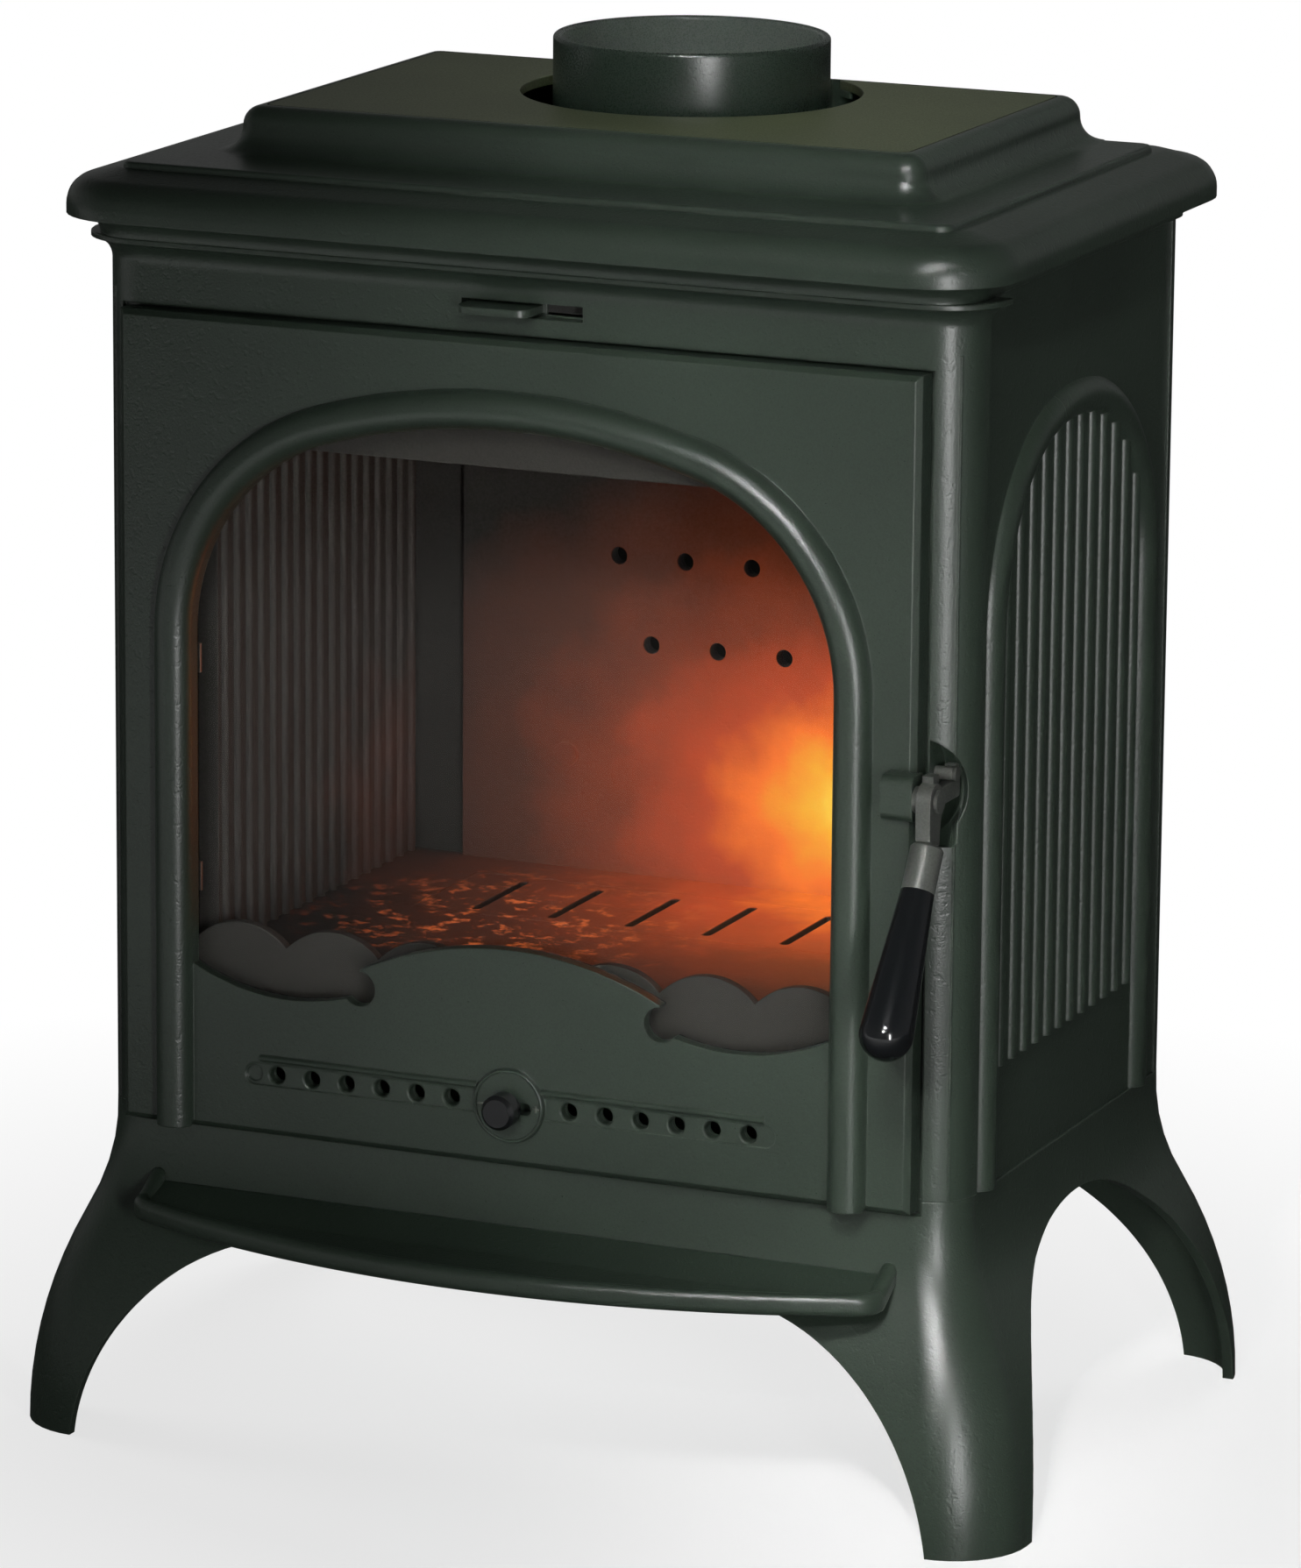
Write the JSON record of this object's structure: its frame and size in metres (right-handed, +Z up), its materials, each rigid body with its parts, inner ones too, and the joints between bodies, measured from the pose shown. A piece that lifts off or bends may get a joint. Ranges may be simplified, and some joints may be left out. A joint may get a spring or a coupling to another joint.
{
  "type": "wood stove",
  "caption": "Rectangular cast-iron wood stove on flared legs, with an arched glazed door, lift latch, air controls, ash lip, removable ash pan and top flue collar.",
  "frame": {"origin": "on the floor under the middle of the whole stove's bounding box", "axes": "+X to the right seen from the front, front faces -Y, +Z up"},
  "size_m": [0.582, 0.4479, 0.75],
  "materials": {
    "outer_casting": "matt heat-proof paint on fine sand-cast iron",
    "inner_casting": "bare dark casting",
    "sheet_metal": "dark sheet",
    "bright_steel": "dull zinc-plated steel",
    "latch_iron": "dark satin casting",
    "ceramic_glass": "clear heat-proof glass",
    "rope": "black glass-fibre rope",
    "grip": "polished black moulding",
    "knob": "black, softly polished"
  },
  "bodies": {
    "stove": {"base_casting": "outer_casting", "ash_lip": "outer_casting", "ash_lip_screws": "bright_steel", "front_frame": "outer_casting", "side_panel_left": "outer_casting", "side_panel_right": "outer_casting", "back_panel": "outer_casting", "hearth_plate": "inner_casting", "grate": "inner_casting", "log_guard": "outer_casting", "side_lining_left": "inner_casting", "side_lining_right": "inner_casting", "rear_air_box": "sheet_metal", "rear_lining": "inner_casting", "rear_lining_bolt": "bright_steel", "baffle_plate": "inner_casting", "air_wash_deflector": "sheet_metal", "firebox_top": "inner_casting", "top_plate": "outer_casting", "cover_plate": "outer_casting", "flue_collar": "outer_casting", "collar_bolts": "bright_steel", "tie_rods": "bright_steel", "tie_rod_nuts": "bright_steel", "band_slide_keeper": "sheet_metal", "band_screws": "bright_steel", "hinge_pins": "bright_steel", "catch_stud": "bright_steel", "catch_sleeve": "bright_steel"},
    "door": {"door": "outer_casting", "door_gasket": "rope", "door_glass": "ceramic_glass", "glass_gasket": "rope", "glass_clips": "bright_steel", "clip_screws": "bright_steel", "slide_keepers": "bright_steel", "keeper_screws": "bright_steel", "latch_pivot_pin": "bright_steel"},
    "air_control": {"air_slide": "sheet_metal", "air_knob": "knob"},
    "latch": {"latch_lever": "latch_iron", "handle_stud": "bright_steel", "handle_ferrule": "latch_iron", "handle_grip": "grip"},
    "upper_air": {"band_slide": "sheet_metal"},
    "ash_drawer": {"ash_pan": "sheet_metal"}
  },
  "joints": [
    {"name": "door_hinge", "type": "hinge", "parent": "stove", "child": "door", "pos_m": [-0.2241, -0.13946, 0.395], "axis": [0, 0, -1], "range_deg": [0, 90]},
    {"name": "latch_lift", "type": "hinge", "parent": "door", "child": "latch", "pos_m": [0.2373, -0.15546, 0.4], "axis": [-1, 0, 0], "range_deg": [0, 40]},
    {"name": "air_control_slide", "type": "slide", "parent": "door", "child": "air_control", "axis": [1, 0, 0], "range_m": [-0.0103, 0.0103]},
    {"name": "upper_air_slide", "type": "slide", "parent": "stove", "child": "upper_air", "axis": [1, 0, 0], "range_m": [0, 0.0255]},
    {"name": "ash_pan_slide", "type": "slide", "parent": "stove", "child": "ash_drawer", "axis": [0, -1, 0], "range_m": [0, 0.134]}
  ],
  "couplings": [
    {"joint": "ash_pan_slide", "follows": "door_hinge", "m_per_rad": 0.085}
  ]
}
